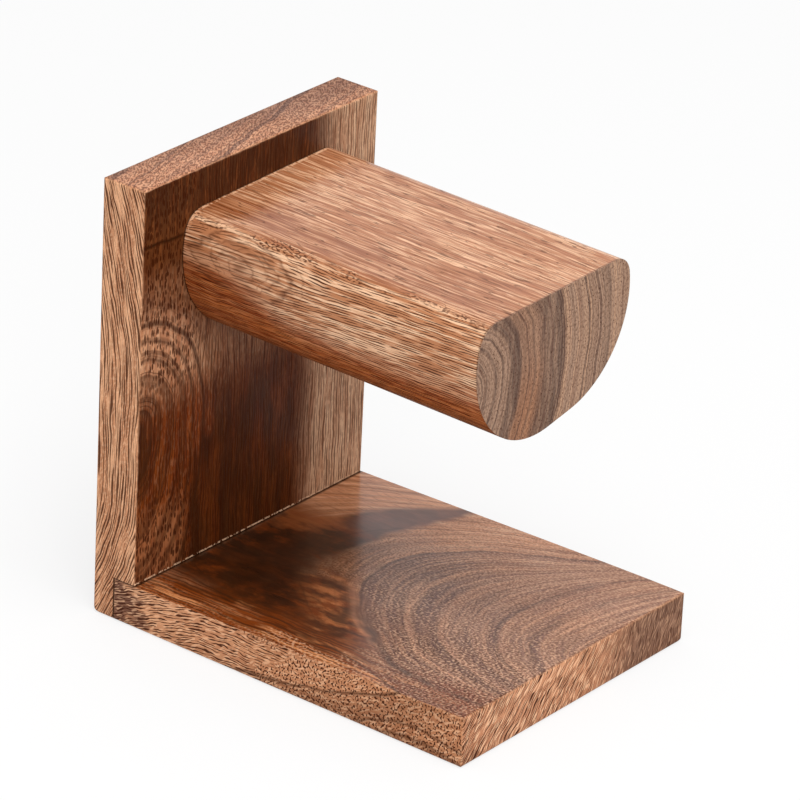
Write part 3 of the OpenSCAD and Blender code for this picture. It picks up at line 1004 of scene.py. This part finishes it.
def screw_steel(name, axis_x, axis_z):
    """Plated steel with turning marks about the screws' axes, which stand in a pair left and right."""
    material, tree, place, _ = new_material(name)
    x, y, z = split(tree, place)
    off_x = less(tree, calc(tree, "ABSOLUTE", x), axis_x)
    off_z = less(tree, z, axis_z)
    radius = shift(tree, "LENGTH", join(tree, off_x, 0.0, off_z))
    marks = cloud(tree, join(tree, times(tree, radius, 9.0), y, 0.0))["Fac"]
    haze = cloud(tree, shift(tree, "SCALE", place, by=0.8), detail=3.0)["Fac"]
    colour = mix(tree, fade(tree, haze, 0.35, 0.7), STEEL, DULL_STEEL)
    roughness = added(tree, marks, 0.25, 0.2)
    bump = node(tree, "Bump", {"Height": marks, "Strength": 0.2, "Distance": 0.00005})
    sockets = {"Base Color": colour, "Metallic": 1.0, "Roughness": roughness,
               "Normal": bump.outputs["Normal"]}
    as_surface(tree, node(tree, "BsdfPrincipled", sockets))
    return material


# Dressing the stand

def dress(name, material):
    """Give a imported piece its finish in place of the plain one."""
    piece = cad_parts[name]
    if not piece.data.materials:
        piece.data.materials.append(material)
    for slot in piece.material_slots:
        slot.link = "OBJECT"
        slot.material = material


def dress_stand():
    """Finish all seven pieces, each pair of screws in one steel."""
    dress("base_plate", base_wood())
    dress("back_panel", back_wood())
    dress("watch_bar", bar_wood())
    for pair in ("bar_screw", "base_screw"):
        low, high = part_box(pair + "_right")
        middle = (low + high) / 2 * MM
        steel = screw_steel(pair + "_steel", middle.x, middle.z)
        dress(pair + "_left", steel)
        dress(pair + "_right", steel)


# Studio

def seen_by_eye(tree):
    """Kinds of ray, and 1 for the ones that reach the eye straight or by a reflection."""
    rays = node(tree, "LightPath").outputs
    return rays, most(tree, rays["Is Camera Ray"], rays["Is Glossy Ray"])


def white_room():
    """A white room: plain light on the wood, and a white backdrop for the eye and for reflections."""
    world = bpy.data.worlds.new("white_room")
    world.use_nodes = True
    bpy.context.scene.world = world
    tree = world.node_tree
    tree.nodes.clear()
    rays, seen = seen_by_eye(tree)
    seen = most(tree, seen, rays["Is Transmission Ray"])
    strength = fade(tree, seen, 0, 1, ROOM_LIGHT, 1.0, how="LINEAR")
    as_surface(tree, node(tree, "Background", {"Color": WHITE, "Strength": strength}), "OutputWorld")


def soft_box(name, place, size, power):
    """A square lamp turned to the middle of the stand."""
    lamp = bpy.data.lights.new(name, "AREA")
    lamp.shape = "SQUARE"
    lamp.size = size
    lamp.energy = power
    box = bpy.data.objects.new(name, lamp)
    bpy.context.scene.collection.objects.link(box)
    box.location = place
    middle = (CAD_BOX[0] + CAD_BOX[1]) / 2
    box.rotation_euler = (middle - Vector(place)).to_track_quat("-Z", "Y").to_euler()


def pale_floor():
    """A pale floor that keeps the stand's soft shadow and fades into the backdrop."""
    bpy.ops.object.select_all(action="DESELECT")
    bpy.ops.mesh.primitive_plane_add(size=FLOOR_SIZE, location=(0, 0, 0))
    floor = bpy.context.active_object
    floor.name = "floor"
    material = bpy.data.materials.new("pale_floor")
    material.use_nodes = True
    tree = material.node_tree
    tree.nodes.clear()
    _, seen = seen_by_eye(tree)
    matt = node(tree, "BsdfDiffuse", {"Color": (FLOOR_GREY, FLOOR_GREY, FLOOR_GREY, 1)})
    glow = node(tree, "Emission", {"Color": WHITE, "Strength": 1.0})
    both = node(tree, "MixShader")
    for socket, value in zip(both.inputs, (times(tree, seen, FLOOR_LIFT), matt.outputs[0], glow.outputs[0])):
        feed(tree, socket, value)
    as_surface(tree, both)
    floor.data.materials.append(material)


def camera():
    """The photograph's own point of view: a long lens, turned a little about its axis."""
    made = bpy.data.cameras.new("camera")
    made.lens = CAMERA_LENS
    made.sensor_width = CAMERA_SENSOR
    made.clip_start = CAMERA_NEAR
    made.clip_end = CAMERA_FAR
    eye = bpy.data.objects.new("camera", made)
    bpy.context.scene.collection.objects.link(eye)
    eye.location = CAMERA_PLACE
    eye.rotation_euler = [math.radians(angle) for angle in CAMERA_TURN]
    bpy.context.scene.camera = eye


camera()
white_room()
soft_box("top_box", **TOP_BOX)
soft_box("front_box", **FRONT_BOX)
pale_floor()
dress_stand()

bpy.context.scene.view_settings.view_transform = "Standard"
